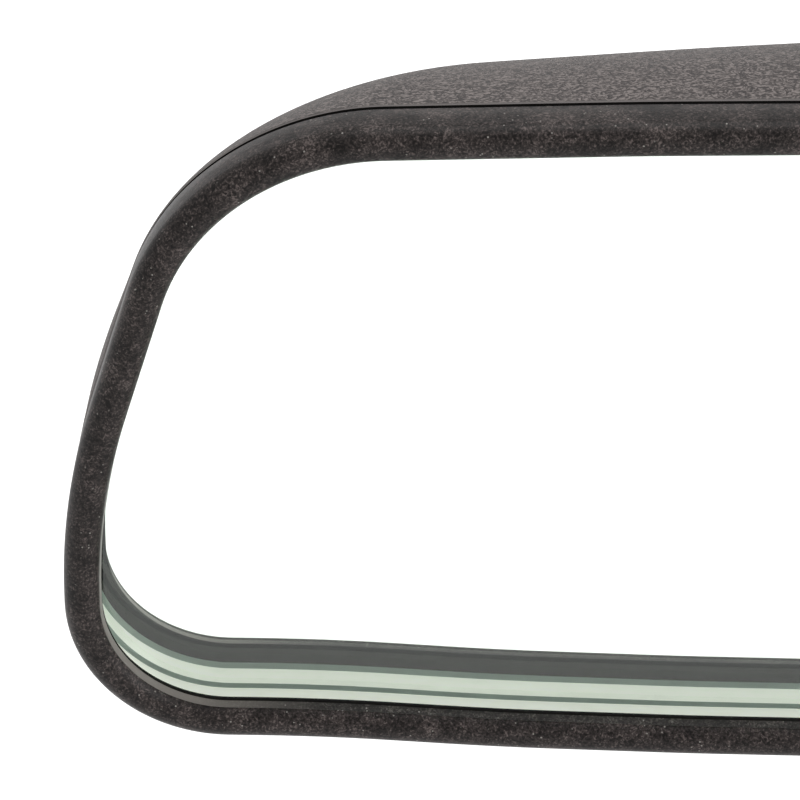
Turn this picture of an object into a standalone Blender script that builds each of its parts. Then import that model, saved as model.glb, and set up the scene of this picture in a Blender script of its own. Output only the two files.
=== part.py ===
"""Interior rearview mirror with a prismatic day/night glass.

Metres, +Z up. The glass faces -Y (the driver), +Y is towards the windscreen, +X is to the right
of somebody who looks into the glass. The origin is the centre of the face that is glued to the
windscreen. Lengths below are in millimetres and go through mm() when a mesh is made.
"""

import math

import bmesh
import bpy
from mathutils import Matrix, Vector

# ---------------------------------------------------------------- driving dimensions (mm, degrees)
GAP = 0.3                      # clearance between pieces that touch or nest

# mirror head, in its own frame: x from the middle, y back from the lip of the bezel, z up
HEAD_HALF_WIDTH = 101.15
HEAD_BOTTOM = -34.9
HEAD_TOP = 34.1
OUTLINE_LEFT = (               # corners of the left half, bottom to top: x, z, corner radius
    (-20.0, HEAD_BOTTOM, 300.0),
    (-45.0, -34.2, 300.0),
    (-62.0, -33.45, 300.0),
    (-78.0, -32.2, 200.0),
    (-HEAD_HALF_WIDTH, -31.8, 14.85),
    (-HEAD_HALF_WIDTH, -6.0, 72.0),
    (-89.8, 33.0, 23.9),
    (-50.0, 33.85, 400.0),
    (-15.0, HEAD_TOP, 400.0),
)
BAR_RADIUS = 1.69              # half-round front bar of the bezel
BAR_CENTRE_Y = -0.35
LIP_BACK = 0.85                # back of the lip that covers the rim of the glass
SEAM_Y = 2.8                   # back edge of the bezel, where the housing starts
SEAM_INSET = 0.3               # draft of the bezel's outer wall at the seam
HOUSING_Y = SEAM_Y + GAP
HOUSING_DEPTH = 34.0
DOME_PLAIN = 7.0               # degrees of the dome's lower half that keep the head's outline
DOME_PLAIN_FADE = 10.0         # height above and below the middle over which that fades
DOME_ROUNDING = 1.01           # how fast the dome turns from the outline to an ellipse
DOME_ROUNDING_POWER = 0.446
DOME_POWER_X = 0.6             # fullness of the dome across and up
DOME_POWER_Z = 0.93
HOUSING_WALL = 2.0
RIM_WALL = 0.95

GLASS_FRONT = LIP_BACK + GAP
GLASS_INSET = 1.75             # rim of the glass, in from the outline of the head
GLASS_THICK_BOTTOM = 5.1
GLASS_THICK_TOP = 4.4
GLASS_EDGE_TAPER = 1.1
GLASS_TAPER_FADE = 12.0
GLASS_ARRIS_FRONT = 0.9        # ground chamfers along the rim of the glass
GLASS_ARRIS_BACK = 0.4
SILVER_THICK = 0.4
SILVER_INSET = 3.4
LONGEST_FACET = 15.0
CHORD_ERROR = 0.05            # how far a facet of the outline may lie inside its arc

# ball joint, in the head's frame
BALL_Y = 27.0
BALL_RADIUS = 7.7
LINER_IN = BALL_RADIUS + GAP
LINER_OUT = 9.4
SOCKET_IN = LINER_OUT + GAP
SOCKET_OUT = 11.5
FLANGE_RADIUS = 15.2
NECK_RADIUS = 3.2
MOUTH_ANGLE = 52.0             # half-angle of the mouth that the neck leaves through

# day/night mechanism, in the head's frame
PIVOT_Y = 17.0
PIVOT_Z = 16.0
LEVER_Y = 17.0
LEVER_Z = -22.0
LEVER_SWING = 30.0             # the lever stands this far either side of straight down
NIGHT_TILT = 4.0
CRANK_RADIUS = (PIVOT_Z - LEVER_Z + 2.4) * math.sin(math.radians(NIGHT_TILT / 2)) / math.sin(
    math.radians(LEVER_SWING)
)
CRANK_PIN_RADIUS = 1.2
LEVER_HALF_WIDTH = 8.0
LEVER_REACH = 27.0

# inner frame behind the glass
FRAME_FRONT = 10.0
FRAME_BACK = 12.0
FRAME_HALF_X = 60.0
FRAME_HALF_Z = 21.0
FRAME_SCREWS = ((-50.0, -12.0), (50.0, -12.0), (-50.0, 12.0), (50.0, 12.0))
PILLAR_LONG = 18.7

# windscreen mount
RAKE = 35.0                    # slope of the windscreen above the horizontal
BALL_WORLD = Vector((0.0, -38.0, -58.0))
BUTTON_THICK = 5.0
FOOT_BACK = 16.0

HEAD_ORIGIN = BALL_WORLD - Vector((0.0, BALL_Y, 0.0))


def material(name, colour, roughness, metallic=0.0, alpha=1.0):
    made = bpy.data.materials.new(name)
    made.use_nodes = True
    shader = made.node_tree.nodes["Principled BSDF"]
    shader.inputs["Base Color"].default_value = (*colour, 1.0)
    shader.inputs["Roughness"].default_value = roughness
    shader.inputs["Metallic"].default_value = metallic
    shader.inputs["Alpha"].default_value = alpha
    return made


def bezel_plastic():
    return material("bezel plastic", (0.055, 0.047, 0.045), 0.5)


def housing_plastic():
    return material("housing plastic", (0.10, 0.09, 0.088), 0.7)


def inner_plastic():
    return material("inner plastic", (0.03, 0.03, 0.032), 0.6)


def liner_plastic():
    return material("liner plastic", (0.75, 0.74, 0.70), 0.4)


def clear_glass():
    return material("clear glass", (0.86, 0.95, 0.90), 0.02, alpha=0.35)


def silver():
    return material("silver", (0.93, 0.94, 0.94), 0.03, 1.0)


def zinc():
    return material("zinc casting", (0.42, 0.42, 0.43), 0.45, 1.0)


def black_zinc():
    return material("black zinc casting", (0.04, 0.04, 0.042), 0.5)


def steel():
    return material("steel", (0.56, 0.57, 0.58), 0.3, 1.0)


def spring_steel():
    return material("spring steel", (0.45, 0.46, 0.48), 0.25, 1.0)


def foam():
    return material("foam", (0.06, 0.06, 0.06), 0.95)


# ---------------------------------------------------------------- mesh helpers
def finish(name, mesh_bm, made_of, origin=None, flat=False):
    """Makes an object from a bmesh given in millimetres of world space."""
    bmesh.ops.remove_doubles(mesh_bm, verts=mesh_bm.verts, dist=1e-4)
    bmesh.ops.recalc_face_normals(mesh_bm, faces=mesh_bm.faces)
    if mesh_bm.calc_volume(signed=True) < 0.0:
        bmesh.ops.reverse_faces(mesh_bm, faces=mesh_bm.faces)
    at = Vector(origin) if origin is not None else Vector((0.0, 0.0, 0.0))
    for vert in mesh_bm.verts:
        vert.co = (vert.co - at) * 0.001
    mesh = bpy.data.meshes.new(name)
    mesh_bm.to_mesh(mesh)
    mesh_bm.free()
    made = bpy.data.objects.new(name, mesh)
    made.location = at * 0.001
    bpy.context.collection.objects.link(made)
    if made_of is not None:
        mesh.materials.append(made_of)
    if not flat:
        mesh.polygons.foreach_set("use_smooth", [True] * len(mesh.polygons))
        mesh.set_sharp_from_angle(angle=math.radians(32.0))
    return made


def loft(rings, cap_start=True, cap_end=True, join_ends=False):
    """A closed skin through rings of equally many points."""
    made = bmesh.new()
    loops = [[made.verts.new(point) for point in ring] for ring in rings]
    count = len(loops[0])
    pairs = list(zip(loops, loops[1:]))
    if join_ends:
        pairs.append((loops[-1], loops[0]))
    for low, high in pairs:
        for k in range(count):
            n = (k + 1) % count
            made.faces.new((low[k], low[n], high[n], high[k]))
    if not join_ends:
        if cap_start:
            made.faces.new(loops[0])
        if cap_end:
            made.faces.new(loops[-1])
    return made


def turned(profile, segments, place):
    """Revolves a closed profile of (radius, height) about local Z, then moves it by a matrix."""
    made = bmesh.new()
    rows = []
    for radius, height in profile:
        if radius < 1e-6:
            rows.append([made.verts.new((0.0, 0.0, height))])
            continue
        row = []
        for k in range(segments):
            turn = 2.0 * math.pi * k / segments
            row.append(made.verts.new((radius * math.cos(turn), radius * math.sin(turn), height)))
        rows.append(row)
    for low, high in zip(rows, rows[1:] + rows[:1]):
        if len(low) == 1 and len(high) == 1:
            continue
        for k in range(segments):
            n = (k + 1) % segments
            if len(low) == 1:
                made.faces.new((low[0], high[n], high[k]))
            elif len(high) == 1:
                made.faces.new((low[k], low[n], high[0]))
            else:
                made.faces.new((low[k], low[n], high[n], high[k]))
    bmesh.ops.transform(made, matrix=place, verts=made.verts)
    return made


def block(low, high, place=None):
    made = bmesh.new()
    bmesh.ops.create_cube(made, size=1.0)
    size = Vector(high) - Vector(low)
    middle = (Vector(high) + Vector(low)) / 2.0
    for vert in made.verts:
        vert.co = Vector((vert.co.x * size.x, vert.co.y * size.y, vert.co.z * size.z)) + middle
    if place is not None:
        bmesh.ops.transform(made, matrix=place, verts=made.verts)
    return made


def along_x(x, y, z):
    """Local Z laid along world X, with its start at a point of the head's frame."""
    return Matrix.Translation(HEAD_ORIGIN + Vector((x, y, z))) @ Matrix.Rotation(
        math.radians(90.0), 4, "Y"
    )


def along_y(x, y, z):
    """Local Z laid along world +Y."""
    return Matrix.Translation(HEAD_ORIGIN + Vector((x, y, z))) @ Matrix.Rotation(
        math.radians(-90.0), 4, "X"
    )


def in_head(x, y, z):
    return HEAD_ORIGIN + Vector((x, y, z))


def rod(radius, length, place, segments=24):
    return turned(((0.0, 0.0), (radius, 0.0), (radius, length), (0.0, length)), segments, place)


def tool_object(name, mesh_bm):
    """A cutter or an adder for a Boolean, which isn't part of the object."""
    made = finish(name, mesh_bm, None, flat=True)
    made.hide_render = True
    made.display_type = "WIRE"
    return made


def boolean(target, mesh_bm, name, operation):
    tool = tool_object(name, mesh_bm)
    step = target.modifiers.new(name, "BOOLEAN")
    step.operation = operation
    step.solver = "EXACT"
    step.object = tool


def cut(target, mesh_bm, name):
    boolean(target, mesh_bm, name + " cutter", "DIFFERENCE")


def add(target, mesh_bm, name):
    boolean(target, mesh_bm, name + " adder", "UNION")


# ---------------------------------------------------------------- outline of the head
def outline_points():
    """Points of the head's outline with their outward normals, once round from the bottom."""
    right = [(-x, z, r) for x, z, r in reversed(OUTLINE_LEFT)]
    corners = list(OUTLINE_LEFT) + right
    points = []
    for k, (x, z, radius) in enumerate(corners):
        corner = Vector((x, z))
        before = (corner - Vector(corners[k - 1][:2])).normalized()
        after = (Vector(corners[(k + 1) % len(corners)][:2]) - corner).normalized()
        turn = math.atan2(before.cross(after), before.dot(after))
        reach = radius * math.tan(abs(turn) / 2.0)
        start = corner - before * reach
        side = 1.0 if turn > 0 else -1.0
        centre = start + Vector((-before.y, before.x)) * radius * side
        steps = max(1, math.ceil(abs(turn) / (2.0 * math.acos(1.0 - CHORD_ERROR / radius))))
        for n in range(steps + 1):
            spin = Matrix.Rotation(turn * n / steps, 2)
            points.append((centre + spin @ (start - centre), spin @ Vector((-before.y, before.x))))
    return split_long(points)


def split_long(points):
    """Adds points on stretches longer than LONGEST_FACET."""
    result = []
    for k, (point, outward) in enumerate(points):
        after, outward_after = points[(k + 1) % len(points)]
        parts = max(1, math.ceil((after - point).length / LONGEST_FACET))
        for n in range(parts):
            share = n / parts
            result.append((point.lerp(after, share), outward.lerp(outward_after, share)))
    return result


OUTLINE = outline_points()


def head_ring(inset, y):
    """The outline moved inwards, at a depth y."""
    ring = []
    for point, outward in OUTLINE:
        moved = point - outward * inset
        ring.append(in_head(moved.x, y, moved.y))
    return ring


# ---------------------------------------------------------------- mirror head
def front_bezel():
    profile = []
    for k in range(9):
        turn = math.pi * k / 8.0
        profile.append(
            (BAR_RADIUS - BAR_RADIUS * math.cos(turn), BAR_CENTRE_Y - BAR_RADIUS * math.sin(turn))
        )
    tip = 2.0 * BAR_RADIUS
    profile += [(tip, 0.25), (tip - 0.35, LIP_BACK)]
    pocket = GLASS_INSET - GAP
    profile += [(pocket, LIP_BACK), (pocket, SEAM_Y), (SEAM_INSET + 0.2, SEAM_Y)]
    profile += [(SEAM_INSET, SEAM_Y - 0.25), (SEAM_INSET * 0.3, 1.0)]
    rings = [head_ring(inset, y) for inset, y in profile]
    return finish("front_bezel", loft(rings, join_ends=True), bezel_plastic())


def plain_turn(z):
    """Degrees of the dome that keep the outline: most at the bottom, where the glass is thick."""
    share = max(0.0, min(1.0, (DOME_PLAIN_FADE - z) / (2.0 * DOME_PLAIN_FADE)))
    return DOME_PLAIN * share * share * (3.0 - 2.0 * share)


def dome_ring(inset, depth, turn):
    """A ring of the housing's dome, at an angle up from its rim, turning into an ellipse."""
    fall = math.cos(math.radians(turn))
    y = HOUSING_Y + depth * math.sin(math.radians(turn))
    half_x = HEAD_HALF_WIDTH - inset
    half_z = -HEAD_BOTTOM - inset
    ring = []
    for point, outward in OUTLINE:
        moved = point - outward * (inset + SEAM_INSET)
        past = math.radians(max(0.0, turn - plain_turn(point.y)))
        share = min(1.0, DOME_ROUNDING * (1.0 - math.cos(past)) ** DOME_ROUNDING_POWER)
        around = math.atan2(moved.y / half_z, moved.x / half_x)
        oval = Vector((half_x * math.cos(around), half_z * math.sin(around)))
        moved = moved.lerp(oval, share)
        ring.append(in_head(moved.x * fall**DOME_POWER_X, y, moved.y * fall**DOME_POWER_Z))
    return ring


def rear_housing():
    turns = (13.0, 20.0, 28.0, 37.0, 47.0, 57.0, 67.0, 76.0, 85.0)
    inner_depth = HOUSING_DEPTH - HOUSING_WALL
    outer = [dome_ring(0.0, HOUSING_DEPTH, turn) for turn in (0.0, 4.0, 8.0) + turns]
    inner = [dome_ring(RIM_WALL, inner_depth, turn) for turn in (0.0, 5.8)]
    inner += [dome_ring(HOUSING_WALL, inner_depth, turn) for turn in (7.5,) + turns]
    made = finish(
        "rear_housing", loft(list(reversed(inner)) + outer, True, True), housing_plastic()
    )
    for k, (x, z) in enumerate(FRAME_SCREWS):
        add(made, rod(3.4, PILLAR_LONG, along_y(x, FRAME_BACK + GAP, z)), f"pillar {k + 1}")
    for k, (x, z) in enumerate(FRAME_SCREWS):
        cut(made, rod(1.5, 11.0, along_y(x, FRAME_BACK - 1.0, z), 16), f"pillar bore {k + 1}")
    cut(made, rod(13.5, 20.0, along_y(0.0, BALL_Y, 0.0), 48), "neck opening")
    slot = block(in_head(-9.4, 6.2, -42.0), in_head(9.4, 23.6, -23.0))
    cut(made, slot, "lever slot")
    return made


def glass_back(z):
    share = (z - HEAD_BOTTOM) / (HEAD_TOP - HEAD_BOTTOM)
    return GLASS_FRONT + GLASS_THICK_BOTTOM + (GLASS_THICK_TOP - GLASS_THICK_BOTTOM) * share


def edge_taper(z):
    """How far the glass edge slopes in towards its back: nothing low down, most along the top."""
    share = max(0.0, min(1.0, (z + GLASS_TAPER_FADE) / (2.0 * GLASS_TAPER_FADE)))
    return GLASS_EDGE_TAPER * share * share * (3.0 - 2.0 * share)


def wedge_ring(inset, behind, tapered=0.0):
    """A ring that lies parallel to the tilted back face of the glass."""
    ring = []
    for point, outward in OUTLINE:
        moved = point - outward * (inset + edge_taper(point.y) * tapered)
        ring.append(in_head(moved.x, glass_back(moved.y) + behind, moved.y))
    return ring


def mirror_glass():
    rings = [
        head_ring(GLASS_INSET + GLASS_ARRIS_FRONT * 0.5, GLASS_FRONT),
        head_ring(GLASS_INSET, GLASS_FRONT + GLASS_ARRIS_FRONT * 0.6),
        wedge_ring(GLASS_INSET, -GLASS_ARRIS_BACK, 1.0),
        wedge_ring(GLASS_INSET + GLASS_ARRIS_BACK, 0.0, 1.0),
    ]
    return finish("mirror_glass", loft(rings), clear_glass())


def mirror_silvering():
    rings = [wedge_ring(SILVER_INSET, GAP), wedge_ring(SILVER_INSET, GAP + SILVER_THICK)]
    return finish("mirror_silvering", loft(rings), silver())


def foam_pad(name, x, z):
    half_x = 13.0
    half_z = 5.0
    made = bmesh.new()
    corners = []
    for side_z in (-half_z, half_z):
        front = glass_back(z + side_z) + 2 * GAP + SILVER_THICK
        for y in (front, FRAME_FRONT - GAP):
            for side_x in (-half_x, half_x):
                corners.append(made.verts.new(in_head(x + side_x, y, z + side_z)))
    for face in ((0, 1, 3, 2), (4, 6, 7, 5), (0, 4, 5, 1), (2, 3, 7, 6), (0, 2, 6, 4), (1, 5, 7, 3)):
        made.faces.new([corners[k] for k in face])
    return finish(name, made, foam(), flat=True)


def inner_frame():
    made = finish(
        "inner_frame",
        block(
            in_head(-FRAME_HALF_X, FRAME_FRONT, -FRAME_HALF_Z),
            in_head(FRAME_HALF_X, FRAME_BACK, FRAME_HALF_Z),
        ),
        inner_plastic(),
        flat=True,
    )
    for side in (-1, 1):
        pivot_x = 15.4 if side > 0 else -19.0
        low = in_head(pivot_x, FRAME_BACK - 1.0, PIVOT_Z - 4.0)
        add(made, block(low, in_head(pivot_x + 3.6, PIVOT_Y, PIVOT_Z + 4.0)), f"pivot lug {side}")
        add(made, rod(4.0, 3.6, along_x(pivot_x, PIVOT_Y, PIVOT_Z)), f"pivot eye {side}")
        lever_x = 8.4 if side > 0 else -12.6
        low = in_head(lever_x, FRAME_FRONT, LEVER_Z - 3.6)
        add(made, block(low, in_head(lever_x + 4.2, LEVER_Y, LEVER_Z + 3.6)), f"lever lug {side}")
        add(made, rod(3.6, 4.2, along_x(lever_x, LEVER_Y, LEVER_Z)), f"lever eye {side}")
        for z in (-15.0, 15.0):
            low = in_head(side * 42.0 - 16.0, FRAME_BACK - 0.5, z * 1.2 - 0.8)
            high = in_head(side * 42.0 + 4.0, FRAME_BACK + 3.0, z * 1.2 + 0.8)
            add(made, block(low, high), f"rib {side} {z}")
    cut(made, rod(1.8, 50.0, along_x(-25.0, PIVOT_Y, PIVOT_Z), 20), "pivot bore")
    cut(made, rod(1.9, 30.0, along_x(-15.0, LEVER_Y, LEVER_Z), 20), "lever bore")
    window = block(in_head(-8.4, FRAME_FRONT - 2.0, -30.0), in_head(8.4, 25.0, -11.0))
    cut(made, window, "mechanism window")
    for k, (x, z) in enumerate(FRAME_SCREWS):
        cut(made, rod(1.6, 6.0, along_y(x, FRAME_FRONT - 2.0, z), 16), f"screw hole {k + 1}")
    return made


def screw(name, place, head_radius, head_high, shank_radius, shank_long, made_of):
    """Pan-head screw: the head starts at local zero, the shank runs along local +Z."""
    rim = head_high * 0.45
    profile = (
        (0.0, head_high * 0.45),
        (head_radius * 0.42, head_high * 0.45),
        (head_radius * 0.42, 0.0),
        (head_radius * 0.8, 0.0),
        (head_radius, rim),
        (head_radius, head_high),
        (shank_radius, head_high),
        (shank_radius, head_high + shank_long - shank_radius * 0.6),
        (shank_radius * 0.4, head_high + shank_long),
        (0.0, head_high + shank_long),
    )
    return finish(name, turned(profile, 14, place), made_of)


def frame_screws():
    for k, (x, z) in enumerate(FRAME_SCREWS):
        head_high = 1.8
        place = along_y(x, FRAME_FRONT - GAP - head_high, z)
        screw(f"frame_screw_{k + 1}", place, 2.6, head_high, 1.2, 11.0, steel())


def pivot_pin():
    profile = (
        (0.0, 0.0),
        (2.2, 0.0),
        (2.4, 0.3),
        (2.4, 1.1),
        (1.5, 1.1),
        (1.5, 40.9),
        (1.1, 40.9),
        (1.1, 41.7),
        (1.5, 41.7),
        (1.5, 42.6),
        (1.2, 42.9),
        (0.0, 42.9),
    )
    return finish("pivot_pin", turned(profile, 20, along_x(-20.4, PIVOT_Y, PIVOT_Z)), steel())


def pivot_pin_clip():
    """E-clip in the groove of the pivot pin, open towards the top."""
    opening = math.radians(35.0)
    rings = []
    for k in range(19):
        turn = math.radians(90.0) + opening + (2.0 * math.pi - 2.0 * opening) * k / 18.0
        ring = []
        for radius, x in ((1.4, 20.6), (3.0, 20.6), (3.0, 21.2), (1.4, 21.2)):
            y = PIVOT_Y + radius * math.cos(turn)
            ring.append(in_head(x, y, PIVOT_Z + radius * math.sin(turn)))
        rings.append(ring)
    return finish("pivot_pin_clip", loft(rings), spring_steel())


# ---------------------------------------------------------------- lever
def lever_place(turn):
    """The lever's own frame: origin on its axis, local -Z down the lever, at a swing angle."""
    return Matrix.Translation(in_head(0.0, LEVER_Y, LEVER_Z)) @ Matrix.Rotation(
        math.radians(turn), 4, "X"
    )


def lever_tab():
    """The finger tab: a rounded paddle, thinner towards its tip."""
    rings = []
    shape = ((7.0, 8.0, 1.5), (10.0, 8.0, 1.5), (14.0, 7.4, 1.5), (19.0, 8.4, 1.35))
    shape += ((23.0, 8.8, 1.25), (25.6, 7.6, 1.15), (LEVER_REACH, 5.0, 0.9))
    for down, half_x, half_y in shape:
        ring = []
        soft = half_y * 0.5
        for x, y in (
            (half_x - soft, half_y),
            (-half_x + soft, half_y),
            (-half_x, half_y - soft),
            (-half_x, -half_y + soft),
            (-half_x + soft, -half_y),
            (half_x - soft, -half_y),
            (half_x, -half_y + soft),
            (half_x, half_y - soft),
        ):
            ring.append(Vector((x, y, -down)))
        rings.append(ring)
    return loft(rings)


def day_night_lever():
    place = lever_place(LEVER_SWING)
    sideways = Matrix.Rotation(math.radians(90.0), 4, "Y")
    tab = lever_tab()
    bmesh.ops.transform(tab, matrix=place, verts=tab.verts)
    made = finish("day_night_lever", tab, inner_plastic(), origin=in_head(0.0, LEVER_Y, LEVER_Z))
    for side in (-1, 1):
        cheek_x = 3.1 if side > 0 else -LEVER_HALF_WIDTH
        hub = place @ Matrix.Translation((cheek_x, 0.0, 0.0)) @ sideways
        add(made, rod(5.0, LEVER_HALF_WIDTH - 3.1, hub, 32), f"cheek {side}")
        low = (cheek_x + 0.3, -1.3, -8.5)
        high = (cheek_x + LEVER_HALF_WIDTH - 3.4, 1.3, -2.0)
        add(made, block(low, high, place), f"cheek leg {side}")
        pin_x = LEVER_HALF_WIDTH - 0.5 if side > 0 else -12.3
        stub = place @ Matrix.Translation((pin_x, 0.0, 0.0)) @ sideways
        add(made, rod(1.6, 12.3 - LEVER_HALF_WIDTH + 0.5, stub, 20), f"trunnion {side}")
    bore = place @ Matrix.Translation((-7.4, 0.0, -CRANK_RADIUS)) @ sideways
    cut(made, rod(CRANK_PIN_RADIUS + GAP, 14.8, bore, 16), "crank pin bore")
    for k in range(3):
        low = (-10.0, -3.0, -17.2 - 2.4 * k)
        high = (10.0, -1.15, -16.4 - 2.4 * k)
        cut(made, block(low, high, place), f"grip groove {k + 1}")
    return made


def lever_crank_pin():
    sideways = Matrix.Rotation(math.radians(90.0), 4, "Y")
    place = lever_place(LEVER_SWING) @ Matrix.Translation((-7.1, 0.0, -CRANK_RADIUS)) @ sideways
    return finish("lever_crank_pin", rod(CRANK_PIN_RADIUS, 14.2, place, 16), steel())


# ---------------------------------------------------------------- ball joint and toggle bracket
def arc(radius, start, end, steps):
    """Points of a circle about the ball's centre, in (distance off the axis, y) form."""
    points = []
    for k in range(steps + 1):
        turn = math.radians(start + (end - start) * k / steps)
        points.append((radius * math.sin(turn), radius * math.cos(turn)))
    return points


def on_ball():
    return along_y(0.0, BALL_Y, 0.0)


def ball_stud():
    neck_turn = math.degrees(math.asin(NECK_RADIUS / BALL_RADIUS))
    profile = arc(BALL_RADIUS, 180.0, neck_turn, 14)
    profile += [(NECK_RADIUS, 12.6), (5.2, 13.0), (5.2, 14.0)]
    profile += [(2.5, 14.0), (2.5, 23.4), (2.1, 23.8), (0.0, 23.8)]
    profile[0] = (0.0, -BALL_RADIUS)
    return finish("ball_stud", turned(profile, 28, on_ball()), steel(), origin=BALL_WORLD)


def rear_ball_liner():
    lean = math.degrees(math.asin(0.15 / LINER_IN))
    profile = arc(LINER_IN, MOUTH_ANGLE, 90.0 - lean, 6)
    profile += arc(LINER_OUT, 90.0 - lean, MOUTH_ANGLE, 6)
    return finish(
        "rear_ball_liner", turned(profile, 24, on_ball()), liner_plastic(), origin=BALL_WORLD
    )


def front_ball_liner():
    lean = math.degrees(math.asin(0.15 / LINER_IN))
    profile = arc(LINER_IN, 90.0 + lean, 155.0, 8)
    profile += arc(LINER_OUT, 155.0, 90.0 + lean, 8)
    return finish(
        "front_ball_liner", turned(profile, 24, on_ball()), liner_plastic(), origin=BALL_WORLD
    )


def toggle_bracket():
    spring_room = 5.2
    profile = arc(SOCKET_IN, 90.0, 180.0 - math.degrees(math.asin(spring_room / SOCKET_IN)), 7)
    floor = -(SOCKET_OUT - 0.6)
    profile += [(spring_room, floor), (0.0, floor), (0.0, -SOCKET_OUT - 1.2)]
    profile += [(6.6, -SOCKET_OUT - 1.2), (8.2, -9.6), (SOCKET_OUT, -5.0), (SOCKET_OUT, -3.0)]
    profile += [(FLANGE_RADIUS, -3.0), (FLANGE_RADIUS, 0.0)]
    made = finish(
        "toggle_bracket",
        turned(profile, 32, on_ball()),
        inner_plastic(),
        origin=in_head(0.0, BALL_Y, 0.0),
    )
    add(made, rod(3.2, 30.0, along_x(-15.0, PIVOT_Y, PIVOT_Z)), "pivot tube")
    add(made, block(in_head(-10.0, 15.2, 7.8), in_head(10.0, 19.6, PIVOT_Z)), "upper web")
    middle = slot_centre()
    low = in_head(-2.7, middle - 3.1, -26.2)
    add(made, block(low, in_head(2.7, middle + 3.1, -9.6)), "tongue")
    low = in_head(-6.0, middle - 2.6, -15.0)
    add(made, block(low, in_head(6.0, middle + 1.8, -7.7)), "tongue root")
    cut(made, rod(1.8, 40.0, along_x(-20.0, PIVOT_Y, PIVOT_Z), 20), "pivot pin bore")
    low = in_head(-4.0, middle - 1.5, -30.0)
    cut(made, block(low, in_head(4.0, middle + 1.5, -20.6)), "fork slot")
    for k in range(3):
        x, z = retainer_screw_at(k)
        cut(made, rod(1.25, 8.0, along_y(x, BALL_Y - 5.0, z), 18), f"flange hole {k + 1}")
    return made


def slot_centre():
    """Depth of the fork's middle: where the crank pin is at rest."""
    return LEVER_Y + CRANK_RADIUS * math.sin(math.radians(LEVER_SWING))


def retainer_screw_at(k):
    turn = math.radians(90.0 + 60.0 + 120.0 * k)
    return 13.4 * math.cos(turn), 13.4 * math.sin(turn)


def socket_retainer():
    profile = arc(SOCKET_IN, MOUTH_ANGLE, 88.2, 6)
    profile += [(SOCKET_IN, GAP), (FLANGE_RADIUS, GAP), (FLANGE_RADIUS, 2.6)]
    profile += [(12.4, 2.9), (9.4, 6.2)]
    made = finish("socket_retainer", turned(profile, 32, on_ball()), zinc(), origin=BALL_WORLD)
    for k in range(3):
        x, z = retainer_screw_at(k)
        cut(made, rod(1.25, 4.6, along_y(x, BALL_Y - 2.6, z), 18), f"thread {k + 1}")
    return made


def retainer_screws():
    for k in range(3):
        x, z = retainer_screw_at(k)
        head_high = 1.3
        place = along_y(x, BALL_Y - 3.0 - GAP - head_high, z)
        screw(f"retainer_screw_{k + 1}", place, 1.5, head_high, 0.9, 5.0, steel())


def ball_pressure_spring():
    """Disc spring that presses the front liner on the ball."""
    low = -(SOCKET_OUT - 0.6) + GAP
    profile = ((1.6, low), (4.8, low + 0.15), (4.8, low + 0.65), (1.6, low + 0.5))
    return finish("ball_pressure_spring", turned(profile, 32, on_ball()), spring_steel())


def detent_spring():
    """Bent strip on the inner frame that bears on the lever's cheeks."""
    thick = 0.4
    path = ((12.35, -7.0), (12.35, -12.6), (11.6, -14.0), (11.4, -18.0), (11.5, -22.0), (11.2, -26.0))
    front = [(y, z) for y, z in path]
    back = [(y + thick, z) for y, z in path]
    rings = []
    for x in (-6.0, 6.0):
        rings.append([in_head(x, y, z) for y, z in front + list(reversed(back))])
    made = finish("detent_spring", loft(rings), spring_steel(), flat=True)
    return made


# ---------------------------------------------------------------- windscreen mount
def on_screen():
    """The mount's frame: local +Z out into the windscreen, local +Y down along it."""
    return Matrix.Rotation(math.radians(-RAKE), 4, "X")


def windscreen_button():
    rings = []
    for half_x, half_y, z in ((9.6, 13.6, 0.0), (10.0, 14.0, -0.4), (13.0, 15.0, -BUTTON_THICK)):
        ring = []
        for k in range(32):
            turn = 2.0 * math.pi * k / 32.0
            across = math.copysign(abs(math.cos(turn)) ** 0.5, math.cos(turn)) * half_x
            along = math.copysign(abs(math.sin(turn)) ** 0.5, math.sin(turn)) * half_y
            ring.append(on_screen() @ Vector((across, along, z)))
        rings.append(ring)
    return finish("windscreen_button", loft(rings), zinc())


def mount_foot():
    rings = []
    for inset, z in ((1.2, -0.8), (0.2, -1.8), (0.0, -6.0), (1.6, -FOOT_BACK + 1.6), (3.4, -FOOT_BACK)):
        ring = []
        for k in range(40):
            turn = 2.0 * math.pi * k / 40.0
            across = math.copysign(abs(math.cos(turn)) ** 0.45, math.cos(turn)) * (19.0 - inset)
            along = math.copysign(abs(math.sin(turn)) ** 0.45, math.sin(turn)) * (23.0 - inset)
            ring.append(on_screen() @ Vector((across, along, z)))
        rings.append(ring)
    made = finish("mount_foot", loft(rings), black_zinc())
    channel = bmesh.new()
    corners = []
    for y in (-40.0, 15.3):
        for half_x, z in ((9.9, 1.0), (13.45, -BUTTON_THICK - GAP)):
            for side in (-1, 1):
                corners.append(channel.verts.new(on_screen() @ Vector((side * half_x, y, z))))
    for face in ((0, 1, 3, 2), (4, 6, 7, 5), (0, 4, 5, 1), (2, 3, 7, 6), (0, 2, 6, 4), (1, 5, 7, 3)):
        channel.faces.new([corners[k] for k in face])
    cut(made, channel, "button channel")
    into = on_screen() @ Matrix.Translation((0.0, -13.5, -FOOT_BACK - 2.0))
    cut(made, rod(2.8, FOOT_BACK, into), "set screw bore")
    for side in (-1, 1):
        into = on_screen() @ Matrix.Translation((side * 9.3, 5.0, -FOOT_BACK - 2.0))
        cut(made, rod(1.8, 8.5, into, 20), f"flange screw bore {side}")
    return made


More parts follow.
